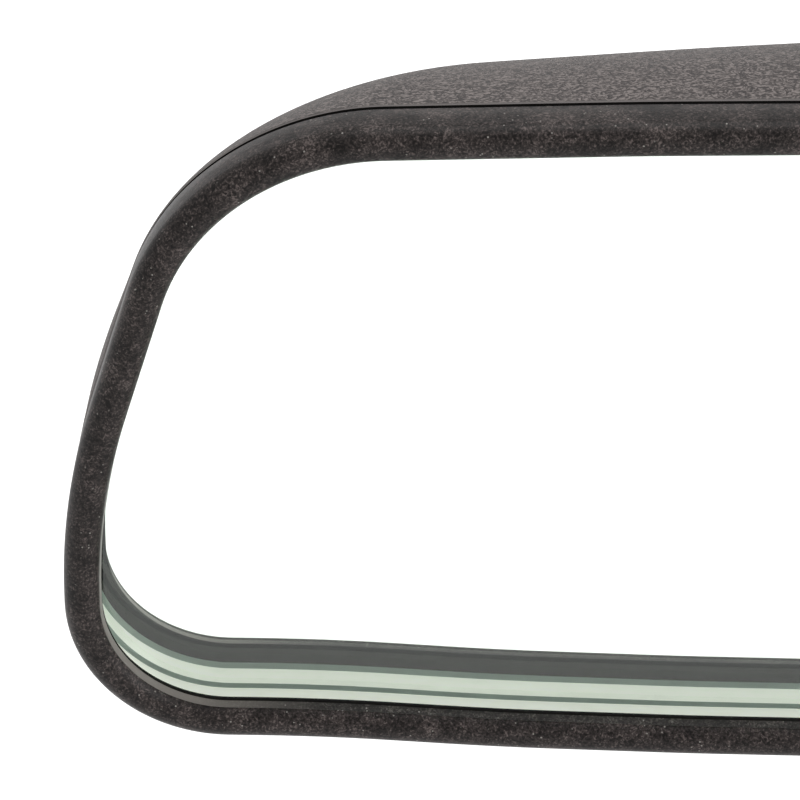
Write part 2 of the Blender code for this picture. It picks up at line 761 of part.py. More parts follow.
def foot_set_screw():
    tip = -BUTTON_THICK - GAP
    low = -FOOT_BACK + 1.0
    profile = (
        (0.0, low + 2.5),
        (1.4, low + 2.5),
        (1.4, low),
        (2.2, low),
        (2.5, low + 0.4),
        (2.5, tip - 1.0),
        (1.4, tip),
        (0.0, tip),
    )
    place = on_screen() @ Matrix.Translation((0.0, -13.5, 0.0))
    return finish("foot_set_screw", turned(profile, 20, place), steel())


def arm():
    """Cast swan-neck arm from the foot's underside to the ball stud."""
    down = -(on_screen().to_3x3() @ Vector((0.0, 0.0, 1.0)))
    start = on_screen() @ Vector((0.0, 5.0, -FOOT_BACK - GAP))
    end = BALL_WORLD + Vector((0.0, 14.0 + GAP, 0.0))
    first = start + down * 14.0
    second = end + Vector((0.0, 22.0, 0.0))
    rings = []
    count = 14
    for k in range(count + 1):
        t = k / count
        a = (1 - t) ** 3
        b = 3 * t * (1 - t) ** 2
        c = 3 * t * t * (1 - t)
        d = t**3
        middle = start * a + first * b + second * c + end * d
        heading = (first - start) * (1 - t) ** 2 + (second - first) * 2 * t * (1 - t)
        heading = (heading + (end - second) * t * t).normalized()
        across = Vector((1.0, 0.0, 0.0))
        up = across.cross(heading).normalized()
        half_wide = 5.6 + 0.4 * t
        half_deep = 6.8 - 0.8 * t
        ring = []
        for n in range(18):
            turn = 2.0 * math.pi * n / 18.0
            ring.append(
                middle + across * half_wide * math.cos(turn) + up * half_deep * math.sin(turn)
            )
        rings.append(ring)
    made = finish("arm", loft(rings), black_zinc())
    flange = on_screen() @ Matrix.Translation((0.0, 5.0, -FOOT_BACK - GAP - 3.0))
    plate = ((0.0, 0.0), (13.0, 0.0), (13.6, 0.6), (13.6, 3.0), (0.0, 3.0))
    add(made, turned(plate, 32, flange), "flange")
    bore = Matrix.Translation(BALL_WORLD + Vector((0.0, 13.0, 0.0))) @ Matrix.Rotation(
        math.radians(-90.0), 4, "X"
    )
    cut(made, rod(2.8, 11.3, bore, 20), "stud bore")
    for side in (-1, 1):
        into = on_screen() @ Matrix.Translation((side * 9.3, 5.0, -FOOT_BACK - 6.0))
        cut(made, rod(1.8, 8.0, into, 20), f"flange hole {side}")
    return made


def flange_screws():
    names = {-1: "flange_screw_left", 1: "flange_screw_right"}
    for side, name in names.items():
        head_high = 2.0
        low = -FOOT_BACK - GAP - 3.0 - GAP - head_high
        place = on_screen() @ Matrix.Translation((side * 9.3, 5.0, low))
        screw(name, place, 2.8, head_high, 1.5, 8.6, steel())


# ---------------------------------------------------------------- the whole mirror
def main():
    for old in list(bpy.data.objects):
        bpy.data.objects.remove(old, do_unlink=True)
    windscreen_button()
    mount_foot()
    foot_set_screw()
    arm()
    flange_screws()
    ball_stud()
    rear_ball_liner()
    front_ball_liner()
    toggle_bracket()
    socket_retainer()
    retainer_screws()
    ball_pressure_spring()
    inner_frame()
    frame_screws()
    pivot_pin()
    pivot_pin_clip()
    detent_spring()
    day_night_lever()
    lever_crank_pin()
    front_bezel()
    rear_housing()
    mirror_glass()
    mirror_silvering()
    for k, (x, z) in enumerate(((-34.0, -14.0), (34.0, -14.0), (-34.0, 13.0), (34.0, 13.0))):
        foam_pad(f"foam_pad_{k + 1}", x, z)


main()
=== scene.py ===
import math

import bmesh
import bpy
from mathutils import Matrix, Vector


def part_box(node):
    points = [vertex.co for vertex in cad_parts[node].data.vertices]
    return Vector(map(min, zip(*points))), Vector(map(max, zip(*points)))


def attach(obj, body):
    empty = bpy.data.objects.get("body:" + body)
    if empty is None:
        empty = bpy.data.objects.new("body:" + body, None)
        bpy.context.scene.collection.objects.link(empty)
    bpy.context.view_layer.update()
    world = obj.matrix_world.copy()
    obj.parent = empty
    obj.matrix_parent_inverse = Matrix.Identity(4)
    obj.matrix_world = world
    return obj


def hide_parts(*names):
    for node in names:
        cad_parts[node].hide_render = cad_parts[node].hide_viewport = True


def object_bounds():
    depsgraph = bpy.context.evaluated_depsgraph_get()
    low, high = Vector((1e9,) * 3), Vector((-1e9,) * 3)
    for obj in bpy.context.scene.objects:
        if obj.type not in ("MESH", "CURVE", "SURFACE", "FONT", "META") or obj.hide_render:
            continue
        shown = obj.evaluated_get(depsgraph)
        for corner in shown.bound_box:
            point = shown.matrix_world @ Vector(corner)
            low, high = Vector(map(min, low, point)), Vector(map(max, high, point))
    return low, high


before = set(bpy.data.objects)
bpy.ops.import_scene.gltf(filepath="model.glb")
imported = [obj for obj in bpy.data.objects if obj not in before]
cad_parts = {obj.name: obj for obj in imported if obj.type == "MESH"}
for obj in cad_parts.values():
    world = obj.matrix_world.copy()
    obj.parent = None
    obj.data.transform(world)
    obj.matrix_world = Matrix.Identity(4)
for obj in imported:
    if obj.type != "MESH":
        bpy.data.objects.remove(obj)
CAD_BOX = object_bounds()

# ---------------------------------------------------------------- the head's frame, from the CAD boxes
# Sizes below are in millimetres. The head's frame has x from its middle, y back from the
# innermost edge of the bezel's lip and z up.
BEZEL_LOW, BEZEL_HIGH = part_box("front_bezel")
HALF_WIDTH = (BEZEL_HIGH.x - BEZEL_LOW.x) * 500.0
HEAD_BOTTOM = -34.9
HEAD_TOP = HEAD_BOTTOM + (BEZEL_HIGH.z - BEZEL_LOW.z) * 1000.0
SEAM_Y = 2.8
HEAD_ORIGIN = Vector((
    (BEZEL_HIGH.x + BEZEL_LOW.x) * 500.0,
    BEZEL_HIGH.y * 1000.0 - SEAM_Y,
    BEZEL_LOW.z * 1000.0 - HEAD_BOTTOM,
))
OUTLINE_LEFT = (               # corners of the left half, bottom to top: x, z, corner radius
    (-20.0, HEAD_BOTTOM, 300.0),
    (-45.0, -34.2, 300.0),
    (-62.0, -33.45, 300.0),
    (-78.0, -32.2, 200.0),
    (-HALF_WIDTH, -31.8, 14.85),
    (-HALF_WIDTH, -6.0, 72.0),
    (-89.8, 33.0, 23.9),
    (-50.0, 33.85, 400.0),
    (-15.0, HEAD_TOP, 400.0),
)
GAP = 0.3
BAR_FRONT = (BEZEL_HIGH.y - BEZEL_LOW.y) * -1000.0 + SEAM_Y
BAR_CENTRE_Y = -0.35
LIP_BACK = 0.85
GLASS_FRONT = 1.15
GLASS_INSET = 1.75
GLASS_THICK_BOTTOM = 5.1
GLASS_THICK_TOP = 4.4
GLASS_EDGE_TAPER = 1.1
GLASS_TAPER_FADE = 12.0
ARRIS_FRONT = 0.9
ARRIS_BACK = 0.4
HOUSING_Y = SEAM_Y + GAP
HOUSING_DEPTH = 34.0
HOUSING_WALL = 2.0
DOME_PLAIN = 7.0
DOME_PLAIN_FADE = 10.0
DOME_ROUNDING = 1.01
DOME_ROUNDING_POWER = 0.446
DOME_POWER_X = 0.6
DOME_POWER_Z = 0.93
SEAM_INSET = 0.3
RIM_WALL = 0.95
NECK_OPENING = 13.5

# ---------------------------------------------------------------- ball joint, mount and lever
BALL_Y = 27.0
BALL = HEAD_ORIGIN + Vector((0.0, BALL_Y, 0.0))
BALL_RADIUS = 7.7
NECK_RADIUS = 3.2
STUD_SHOULDER = 14.0           # the arm's end sits against the stud's shoulder, this far behind the ball
LINER_INNER = 8.0
LINER_OUTER = 9.4
LINER_HALF_GAP = 0.15
MOUTH_TURN = 52.0              # degrees from the ball's axis to the mouth of liner and retainer
SOCKET_RADIUS = 9.7
RETAINER_RADIUS = 15.2
RETAINER_SCREWS = 13.4         # radius of the screw circle
RAKE = 35.0                    # the windscreen's lean, in degrees
BUTTON_THICK = 5.0
FOOT_BACK = 16.0
FOOT_HALF_X = 19.0
FOOT_HALF_Y = 23.0
ARM_Y = 5.0                    # where the arm's flange sits along the foot
FLANGE_THICK = 3.0
FLANGE_SCREW_X = 9.3
SET_SCREW_Y = -13.5
LEVER_Y = 17.0
LEVER_Z = -22.0
LEVER_SWING = 30.0             # degrees at rest
LEVER_HALF_WIDTH = 8.0
LEVER_REACH = 27.0
CHEEK_INNER = 3.1
TRUNNION_END = 12.3
CRANK_RADIUS = 2.82
CRANK_BORE = 1.5

# ---------------------------------------------------------------- looks
SHARP = 40.0                   # degrees above which an edge stays sharp
# strength of the glass edge's painted glow: emission standing in for light led through the glass
PAINTED_EDGE_GLOW = 0.50
WORLD_LIGHT = 1.05
WORLD_DIM = 0.70               # the studio is dimmer in the quarter that the driver looks from
DIM_HEADING = (0.0, -0.82, 0.57)
DIM_START = 0.72               # cosine of the angle from that heading where the dimming starts
DIM_FULL = 0.95
FLOOR_DROP = 0.06              # these three are in metres
FLOOR_HALF = 4.0
CAMERA_DISTANCE = 0.5
CAMERA_AIM = (-71.0, 0.0, 4.6)
CAMERA_ELEVATION = 35.0        # degrees
CAMERA_LENS = 256.5


def in_head(x, y, z):
    return HEAD_ORIGIN + Vector((x, y, z))


# ---------------------------------------------------------------- mesh helpers
def made_object(name, mesh_bm, materials, sharp):
    """An object from a bmesh in millimetres, shaded smooth but for edges above the sharp angle."""
    bmesh.ops.remove_doubles(mesh_bm, verts=mesh_bm.verts, dist=1e-4)
    bmesh.ops.recalc_face_normals(mesh_bm, faces=mesh_bm.faces)
    if mesh_bm.calc_volume(signed=True) < 0.0:
        bmesh.ops.reverse_faces(mesh_bm, faces=mesh_bm.faces)
    bmesh.ops.scale(mesh_bm, vec=(0.001, 0.001, 0.001), verts=mesh_bm.verts)
    mesh = bpy.data.meshes.new(name)
    mesh_bm.to_mesh(mesh)
    mesh_bm.free()
    for item in materials:
        mesh.materials.append(item)
    mesh.polygons.foreach_set("use_smooth", [True] * len(mesh.polygons))
    if sharp is not None:
        mesh.set_sharp_from_angle(angle=math.radians(sharp))
    made = bpy.data.objects.new(name, mesh)
    bpy.context.scene.collection.objects.link(made)
    return made


def loft(rings, join_ends=False, slots=None):
    """A closed skin through rings of equally many points: the last ring joins the first, or both
    get a cap. slots gives a material slot for each strip, and the caps take the last one."""
    made = bmesh.new()
    loops = [[made.verts.new(point) for point in ring] for ring in rings]
    count = len(loops[0])
    pairs = list(zip(loops, loops[1:]))
    if join_ends:
        pairs.append((loops[-1], loops[0]))
    for strip, (low, high) in enumerate(pairs):
        for k in range(count):
            n = (k + 1) % count
            face = made.faces.new((low[k], low[n], high[n], high[k]))
            if slots is not None:
                face.material_index = slots[strip]
    if not join_ends:
        for loop in (loops[0], loops[-1]):
            face = made.faces.new(loop)
            if slots is not None:
                face.material_index = slots[-1]
    return made


def turned(profile, segments, place):
    """Revolves a closed profile of (radius, height) about local Z, then moves it by a matrix."""
    made = bmesh.new()
    rows = []
    for radius, height in profile:
        if radius < 1e-6:
            rows.append([made.verts.new((0.0, 0.0, height))])
            continue
        row = []
        for k in range(segments):
            turn = 2.0 * math.pi * k / segments
            row.append(made.verts.new((radius * math.cos(turn), radius * math.sin(turn), height)))
        rows.append(row)
    for low, high in zip(rows, rows[1:] + rows[:1]):
        if len(low) == 1 and len(high) == 1:
            continue
        for k in range(segments):
            n = (k + 1) % segments
            if len(low) == 1:
                made.faces.new((low[0], high[n], high[k]))
            elif len(high) == 1:
                made.faces.new((low[k], low[n], high[0]))
            else:
                made.faces.new((low[k], low[n], high[n], high[k]))
    bmesh.ops.transform(made, matrix=place, verts=made.verts)
    return made


def box(size, middle, place=Matrix()):
    """A cuboid with three side lengths round its middle, then moved by a matrix."""
    made = bmesh.new()
    bmesh.ops.create_cube(made, size=1.0)
    for vert in made.verts:
        corner = Vector((vert.co.x * size[0], vert.co.y * size[1], vert.co.z * size[2]))
        vert.co = place @ (corner + middle)
    return made


def combine(target, mesh_bm, operation):
    """A boolean with a tool mesh, applied at once."""
    tool = made_object("tool", mesh_bm, (), None)
    step = target.modifiers.new("boolean", "BOOLEAN")
    step.operation = operation
    step.solver = "EXACT"
    step.object = tool
    apply_modifiers(target)
    bpy.data.objects.remove(tool, do_unlink=True)


def cut(target, mesh_bm):
    combine(target, mesh_bm, "DIFFERENCE")


def join(target, mesh_bm):
    combine(target, mesh_bm, "UNION")


def apply_modifiers(target):
    graph = bpy.context.evaluated_depsgraph_get()
    graph.update()
    final = bpy.data.meshes.new_from_object(target.evaluated_get(graph))
    old = target.data
    target.modifiers.clear()
    target.data = final
    bpy.data.meshes.remove(old)


def round_edges(target, width):
    """A bevel modifier of three steps on the sharp edges, width in millimetres."""
    edge = target.modifiers.new("edges", "BEVEL")
    edge.width = width * 0.001
    edge.segments = 3
    edge.limit_method = "ANGLE"
    edge.angle_limit = math.radians(38.0)
    edge.miter_outer = "MITER_ARC"


def along_y(x, y, z):
    """Local Z turned to point back along +Y, from a point of the head."""
    return Matrix.Translation(in_head(x, y, z)) @ Matrix.Rotation(math.radians(-90.0), 4, "X")


def on_screen(x=0.0, y=0.0, z=0.0):
    """A place on the leaning windscreen, which runs through the mount's origin."""
    return Matrix.Rotation(math.radians(-RAKE), 4, "X") @ Matrix.Translation((x, y, z))


# ---------------------------------------------------------------- outline of the head
def outline_points(chord_error, longest):
    """Points of the head's outline with their outward normals, once round from the bottom."""
    right = [(-x, z, r) for x, z, r in reversed(OUTLINE_LEFT)]
    corners = list(OUTLINE_LEFT) + right
    points = []
    for k, (x, z, radius) in enumerate(corners):
        corner = Vector((x, z))
        before = (corner - Vector(corners[k - 1][:2])).normalized()
        after = (Vector(corners[(k + 1) % len(corners)][:2]) - corner).normalized()
        turn = math.atan2(before.cross(after), before.dot(after))
        reach = radius * math.tan(abs(turn) / 2.0)
        start = corner - before * reach
        side = 1.0 if turn > 0 else -1.0
        centre = start + Vector((-before.y, before.x)) * radius * side
        steps = max(1, math.ceil(abs(turn) / (2.0 * math.acos(1.0 - chord_error / radius))))
        for n in range(steps + 1):
            spin = Matrix.Rotation(turn * n / steps, 2)
            points.append((centre + spin @ (start - centre), spin @ Vector((-before.y, before.x))))
    result = []
    for k, (point, outward) in enumerate(points):
        ahead, outward_ahead = points[(k + 1) % len(points)]
        parts = max(1, math.ceil((ahead - point).length / longest))
        for n in range(parts):
            share = n / parts
            result.append((point.lerp(ahead, share), outward.lerp(outward_ahead, share)))
    return result


OUTLINE = outline_points(0.003, 1.6)


def head_ring(inset, y):
    """The outline moved inwards, at a depth y."""
    ring = []
    for point, outward in OUTLINE:
        moved = point - outward * inset
        ring.append(in_head(moved.x, y, moved.y))
    return ring


def plain_turn(z):
    """How far the dome rises straight from its rim: furthest along the bottom edge."""
    share = max(0.0, min(1.0, (DOME_PLAIN_FADE - z) / (2.0 * DOME_PLAIN_FADE)))
    return DOME_PLAIN * share * share * (3.0 - 2.0 * share)


def dome_ring(inset, depth, turn):
    """A ring of the housing's dome, at an angle up from its rim, turning into an ellipse."""
    fall = math.cos(math.radians(turn))
    y = HOUSING_Y + depth * math.sin(math.radians(turn))
    half_x = HALF_WIDTH - inset
    half_z = -HEAD_BOTTOM - inset
    ring = []
    for point, outward in OUTLINE:
        moved = point - outward * (inset + SEAM_INSET)
        past = math.radians(max(0.0, turn - plain_turn(point.y)))
        share = min(1.0, DOME_ROUNDING * (1.0 - math.cos(past)) ** DOME_ROUNDING_POWER)
        around = math.atan2(moved.y / half_z, moved.x / half_x)
        oval = Vector((half_x * math.cos(around), half_z * math.sin(around)))
        moved = moved.lerp(oval, share)
        ring.append(in_head(moved.x * fall**DOME_POWER_X, y, moved.y * fall**DOME_POWER_Z))
    return ring


# ---------------------------------------------------------------- node material helpers
class Shader:
    """A Principled material and the links that build its detail."""

    def __init__(self, name, colour, roughness, metallic=0.0, specular=0.5):
        self.made = bpy.data.materials.new(name)
        self.made.use_nodes = True
        self.tree = self.made.node_tree
        self.bsdf = self.tree.nodes["Principled BSDF"]
        self.set("Base Color", (*colour, 1.0))
        self.set("Roughness", roughness)
        self.set("Metallic", metallic)
        self.set("Specular IOR Level", specular)
        self.coords = self.tree.nodes.new("ShaderNodeTexCoord").outputs["Object"]

    def set(self, socket, value):
        self.bsdf.inputs[socket].default_value = value

    def wire(self, output, socket):
        self.tree.links.new(output, socket)

    def node(self, kind, **values):
        made = self.tree.nodes.new(kind)
        for key, value in values.items():
            setattr(made, key, value)
        return made

    def stretched(self, scale):
        """Object coordinates with a scale for each axis."""
        made = self.node("ShaderNodeMapping")
        made.inputs["Scale"].default_value = scale
        self.wire(self.coords, made.inputs["Vector"])
        return made.outputs["Vector"]

    def noise(self, size_mm, detail=3.0, rough=0.55, vector=None, distortion=0.0):
        made = self.node("ShaderNodeTexNoise")
        made.inputs["Scale"].default_value = 1000.0 / size_mm
        made.inputs["Detail"].default_value = detail
        made.inputs["Roughness"].default_value = rough
        made.inputs["Distortion"].default_value = distortion
        self.wire(vector or self.coords, made.inputs["Vector"])
        return made.outputs["Fac"]

    def cells(self, size_mm):
        made = self.node("ShaderNodeTexVoronoi", feature="F1")
        made.inputs["Scale"].default_value = 1000.0 / size_mm
        self.wire(self.coords, made.inputs["Vector"])
        return made.outputs["Distance"]

    def ramp(self, value, stops):
        made = self.node("ShaderNodeValToRGB")
        items = made.color_ramp.elements
        while len(items) < len(stops):
            items.new(0.5)
        for item, (at, colour) in zip(items, stops):
            item.position = at
            item.color = colour if len(colour) == 4 else (*colour, 1.0)
        self.wire(value, made.inputs["Fac"])
        return made.outputs["Color"]

    def grey(self, value, low, high, out_low, out_high):
        made = self.node("ShaderNodeMapRange")
        made.clamp = True
        for key, number in (
            ("From Min", low), ("From Max", high), ("To Min", out_low), ("To Max", out_high)
        ):
            made.inputs[key].default_value = number
        self.wire(value, made.inputs["Value"])
        return made.outputs["Result"]

    def math(self, operation, a, b):
        made = self.node("ShaderNodeMath", operation=operation)
        for k, value in enumerate((a, b)):
            if isinstance(value, (int, float)):
                made.inputs[k].default_value = value
            else:
                self.wire(value, made.inputs[k])
        return made.outputs[0]

    def mix(self, factor, a, b):
        made = self.node("ShaderNodeMix", data_type="RGBA")
        self.wire(factor, made.inputs["Factor"])
        for value, socket in ((a, made.inputs[6]), (b, made.inputs[7])):
            if isinstance(value, tuple):
                socket.default_value = value if len(value) == 4 else (*value, 1.0)
            else:
                self.wire(value, socket)
        return made.outputs[2]

    def bump(self, heights):
        """Bump from (height, depth in mm) pairs, one on top of the other."""
        last = None
        for height, depth in heights:
            made = self.node("ShaderNodeBump")
            made.inputs["Strength"].default_value = 1.0
            made.inputs["Distance"].default_value = depth * 0.001
            self.wire(height, made.inputs["Height"])
            if last is not None:
                self.wire(last, made.inputs["Normal"])
            last = made.outputs["Normal"]
        self.wire(last, self.bsdf.inputs["Normal"])

    def axis(self, name):
        made = self.node("ShaderNodeSeparateXYZ")
        self.wire(self.coords, made.inputs["Vector"])
        return made.outputs[name]


def mottle(s, low, high, dust):
    """Fine mottled grain between two colours, with light specks where dust clings."""
    fine = s.noise(0.26, 3.0, 0.7)
    curls = s.noise(0.42, 2.0, 0.6, distortion=1.8)
    patch = s.math("MULTIPLY", s.math("SUBTRACT", s.noise(3.2, 3.0, 0.6), 0.5), 0.3)
    grain = s.math("ADD", s.math("MULTIPLY", fine, 0.5), s.math("MULTIPLY", curls, 0.5))
    middle = tuple(a * 0.75 + b * 0.25 for a, b in zip(low, high))
    tone = s.ramp(s.math("ADD", grain, patch), ((0.41, low), (0.54, middle), (0.66, high)))
    specks = s.grey(s.cells(0.7), 0.08, 0.14, 1.0, 0.0)
    dusty = s.math("MULTIPLY", specks, s.grey(s.noise(2.5, 1.0), 0.47, 0.56, 0.0, dust))
    s.bump(((curls, 0.02), (fine, 0.012)))
    s.wire(s.grey(fine, 0.3, 0.7, 0.34, 0.5), s.bsdf.inputs["Roughness"])
    return s.mix(dusty, tone, (0.20, 0.19, 0.175))


def bezel_plastic():
    s = Shader("bezel_plastic", (0.02, 0.017, 0.016), 0.5, specular=0.12)
    tone = mottle(s, (0.0045, 0.0036, 0.0034), (0.086, 0.070, 0.066), 0.9)
    s.wire(tone, s.bsdf.inputs["Base Color"])
    return s.made


def bezel_lip():
    """The lip beside the glass, with a painted highlight that lightens it round the two lower corners.
    """
    s = Shader("bezel_lip", (0.05, 0.046, 0.043), 0.5, specular=0.25)
    tone = mottle(s, (0.006, 0.005, 0.0048), (0.080, 0.072, 0.066), 1.0)
    # painted highlight: lighter towards the outer ends and the bottom, standing in for grazing light on
    # the lower corners
    out = s.grey(s.math("ABSOLUTE", s.axis("X"), 0.0), 0.078, 0.090, 0.0, 1.0)
    low = s.grey(s.axis("Z"), (HEAD_ORIGIN.z + 4.0) * 0.001, (HEAD_ORIGIN.z - 8.0) * 0.001,
                 0.35, 1.0)
    painted_highlight = s.math("MULTIPLY", s.math("MULTIPLY", out, low), 0.75)
    s.wire(s.mix(painted_highlight, tone, (0.17, 0.156, 0.142)), s.bsdf.inputs["Base Color"])
    return s.made


def shadowed_plastic():
    """Faces turned into the gaps, where hardly any light reaches."""
    return Shader("shadowed_plastic", (0.004, 0.0035, 0.0033), 0.8, specular=0.1).made


def housing_plastic():
    """Leather grain of short crinkled ridges, left smooth on a narrow band along the rim."""
    s = Shader("housing_plastic", (0.07, 0.06, 0.058), 0.6, specular=0.25)
    wide = s.stretched((0.75, 1.0, 1.0))
    crinkle = s.noise(0.62, 2.0, 0.55, wide, 2.6)
    fine = s.noise(0.30, 2.0, 0.6)
    grain = s.math("ADD", s.math("MULTIPLY", crinkle, 0.66), s.math("MULTIPLY", fine, 0.34))
    rim = s.grey(s.axis("Y"), (HEAD_ORIGIN.y + HOUSING_Y + 0.18) * 0.001,
                 (HEAD_ORIGIN.y + HOUSING_Y + 0.42) * 0.001, 0.0, 1.0)
    tone = s.ramp(grain, ((0.42, (0.019, 0.0155, 0.0150)), (0.50, (0.050, 0.042, 0.040)),
                          (0.58, (0.140, 0.122, 0.116))))
    s.wire(s.mix(rim, (0.080, 0.072, 0.069), tone), s.bsdf.inputs["Base Color"])
    s.wire(s.grey(grain, 0.35, 0.65, 0.5, 0.72), s.bsdf.inputs["Roughness"])
    s.bump(((s.math("MULTIPLY", grain, rim), 0.14),))
    return s.made


def inner_plastic():
    s = Shader("inner_plastic", (0.028, 0.027, 0.028), 0.45)
    fine = s.noise(0.8, 3.0)
    s.wire(s.ramp(fine, ((0.3, (0.020, 0.019, 0.020)), (0.7, (0.038, 0.036, 0.037)))),
           s.bsdf.inputs["Base Color"])
    s.wire(s.grey(s.noise(6.0, 4.0), 0.3, 0.7, 0.34, 0.56), s.bsdf.inputs["Roughness"])
    s.bump(((fine, 0.02),))
    return s.made


def liner_plastic():
    s = Shader("liner_plastic", (0.70, 0.68, 0.62), 0.4)
    s.set("Subsurface Weight", 0.15)
    s.set("Subsurface Radius", (0.003, 0.0025, 0.002))
    s.wire(s.ramp(s.noise(3.0, 4.0), ((0.3, (0.64, 0.61, 0.54)), (0.7, (0.74, 0.72, 0.67)))),
           s.bsdf.inputs["Base Color"])
    s.bump(((s.noise(0.6), 0.01),))
    return s.made


def metal(name, colour, roughness, spread, bump_size, bump_depth):
    s = Shader(name, colour, roughness, metallic=1.0)
    stains = s.noise(4.0, 5.0, 0.6)
    darker = tuple(c * 0.72 for c in colour)
    s.wire(s.ramp(stains, ((0.32, darker), (0.66, colour))), s.bsdf.inputs["Base Color"])
    s.wire(s.grey(s.noise(1.2, 4.0), 0.3, 0.7, roughness - spread, roughness + spread),
           s.bsdf.inputs["Roughness"])
    s.bump(((s.noise(bump_size, 3.0), bump_depth),))
    return s.made


def black_casting():
    s = Shader("black_casting", (0.03, 0.03, 0.031), 0.5, specular=0.5)
    pores = s.noise(0.45, 3.0, 0.6)
    s.wire(s.ramp(pores, ((0.3, (0.018, 0.018, 0.019)), (0.7, (0.045, 0.044, 0.045)))),
           s.bsdf.inputs["Base Color"])
    s.wire(s.grey(s.noise(5.0, 4.0), 0.3, 0.7, 0.38, 0.6), s.bsdf.inputs["Roughness"])
    s.bump(((pores, 0.05),))
    return s.made


def foam():
    s = Shader("foam", (0.05, 0.05, 0.05), 0.95)
    s.bump(((s.cells(0.5), 0.2),))
    return s.made


def clear_glass():
    """Float glass: clear faces, with the green of its iron in the depth."""
    s = Shader("clear_glass", (0.985, 0.995, 0.988), 0.0)
    s.set("IOR", 1.52)
    s.set("Transmission Weight", 1.0)
    volume = s.node("ShaderNodeVolumeAbsorption")
    volume.inputs["Color"].default_value = (0.66, 0.84, 0.68, 1.0)
    volume.inputs["Density"].default_value = 28.0
    output = s.tree.nodes["Material Output"]
    s.wire(volume.outputs["Volume"], output.inputs["Volume"])
    return s.made


def ground_glass():
    """The ground arrises along the rim of the glass."""
    s = Shader("ground_glass", (0.46, 0.52, 0.50), 0.55)
    s.set("IOR", 1.52)
    s.set("Transmission Weight", 0.35)
    s.bump(((s.noise(0.15, 3.0), 0.01),))
    return s.made


def glass_edge():
    """The fine-ground edge, pale green, with a painted glow (emission) standing in for the light that
    the glass leads to it.
    """
    s = Shader("glass_edge", (0.72, 0.74, 0.68), 0.35)
    tone = s.ramp(s.noise(2.4, 3.0), ((0.3, (0.67, 0.68, 0.63)), (0.7, (0.76, 0.77, 0.72))))
    s.wire(tone, s.bsdf.inputs["Base Color"])
    # painted light: the edge emits a glow standing in for the light that the glass leads to it
    s.set("Emission Color", (0.70, 0.69, 0.64, 1.0))
    s.set("Emission Strength", PAINTED_EDGE_GLOW)
    s.bump(((s.noise(0.15, 3.0), 0.005),))
    return s.made


def silver():
    return Shader("silver_coat", (0.97, 0.975, 0.97), 0.0, metallic=1.0).made


def backing_paint():
    s = Shader("backing_paint", (0.16, 0.17, 0.17), 0.6)
    s.wire(s.ramp(s.noise(5.0, 4.0), ((0.3, (0.12, 0.13, 0.13)), (0.7, (0.2, 0.21, 0.21)))),
           s.bsdf.inputs["Base Color"])
    return s.made


# ---------------------------------------------------------------- mirror head
def bezel():
    """Round bar, a fine groove, a lip that slopes to the glass, and the pocket behind it."""
    bar_slot, lip_slot, shadow_slot = range(3)
    bar = BAR_CENTRE_Y - BAR_FRONT
    profile = [(SEAM_INSET + 0.3, SEAM_Y), (SEAM_INSET + 0.12, SEAM_Y - 0.06)]
    profile += [(SEAM_INSET, SEAM_Y - 0.25), (SEAM_INSET * 0.3, 1.0)]
    for k in range(32):
        turn = math.radians(5.0 * k)
        profile.append((bar - bar * math.cos(turn), BAR_CENTRE_Y - bar * math.sin(turn)))
    groove = len(profile)
    profile += [(3.21, -0.98), (3.16, -0.91), (3.17, -0.83), (3.22, -0.74)]
    profile += [(3.29, -0.44), (3.35, -0.13), (3.375, 0.05), (3.36, 0.20)]
    lip = len(profile)
    pocket = GLASS_INSET - GAP
    profile += [(3.30, 0.32), (3.05, 0.82), (2.98, LIP_BACK), (pocket, LIP_BACK), (pocket, SEAM_Y)]
    slots = [bar_slot] * len(profile)
    slots[:2] = [shadow_slot] * 2
    slots[groove + 1:lip - 3] = [lip_slot] * (lip - 4 - groove)
    slots[lip - 3:] = [shadow_slot] * (len(profile) - lip + 3)
    skin = loft([head_ring(inset, y) for inset, y in profile], join_ends=True, slots=slots)
    made = made_object("bezel", skin, (bezel_plastic(), bezel_lip(), shadowed_plastic()), SHARP)
    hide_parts("front_bezel")
    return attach(made, "head")


def housing():
    """Domed shell with a smooth rim, an opening for the bracket's neck and one for the lever."""
    turns = [0.6, 1.2, 2.0, 3.0, 4.0] + [5.0 + 1.5 * k for k in range(54)] + [86.0, 87.4, 88.5]
    outer = [dome_ring(0.35, HOUSING_DEPTH, 0.0), dome_ring(0.1, HOUSING_DEPTH, 0.12)]
    outer += [dome_ring(0.0, HOUSING_DEPTH, turn) for turn in turns]
    inner_depth = HOUSING_DEPTH - HOUSING_WALL
    inner = [dome_ring(RIM_WALL, inner_depth, turn) for turn in (0.0, 5.8)]
    for turn in (7.5, 13.0, 20.0, 28.0, 37.0, 47.0, 57.0, 67.0, 76.0, 85.0):
        inner.append(dome_ring(HOUSING_WALL, inner_depth, turn))
    grained, shadowed = range(2)
    slots = [grained] * (len(inner) + len(outer))
    slots[len(inner) - 1] = shadowed       # the rim's flat edge and the first step outside it
    slots[len(inner)] = shadowed
    skin = loft(list(reversed(inner)) + outer, slots=slots)
    made = made_object("housing", skin, (housing_plastic(), shadowed_plastic()), SHARP)
    cut(made, rod(NECK_OPENING, 20.0, along_y(0.0, BALL_Y, 0.0), 96))
    low, high = in_head(-9.4, 6.2, -42.0), in_head(9.4, 23.6, -23.0)
    cut(made, box(high - low, (high + low) / 2.0))
    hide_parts("rear_housing")
    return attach(made, "head")


def glass_back(z):
    share = (z - HEAD_BOTTOM) / (HEAD_TOP - HEAD_BOTTOM)
    return GLASS_FRONT + GLASS_THICK_BOTTOM + (GLASS_THICK_TOP - GLASS_THICK_BOTTOM) * share


def edge_taper(z):
    """How far the glass edge slopes in towards its back: nothing low down, most along the top."""
    share = max(0.0, min(1.0, (z + GLASS_TAPER_FADE) / (2.0 * GLASS_TAPER_FADE)))
    return GLASS_EDGE_TAPER * share * share * (3.0 - 2.0 * share)


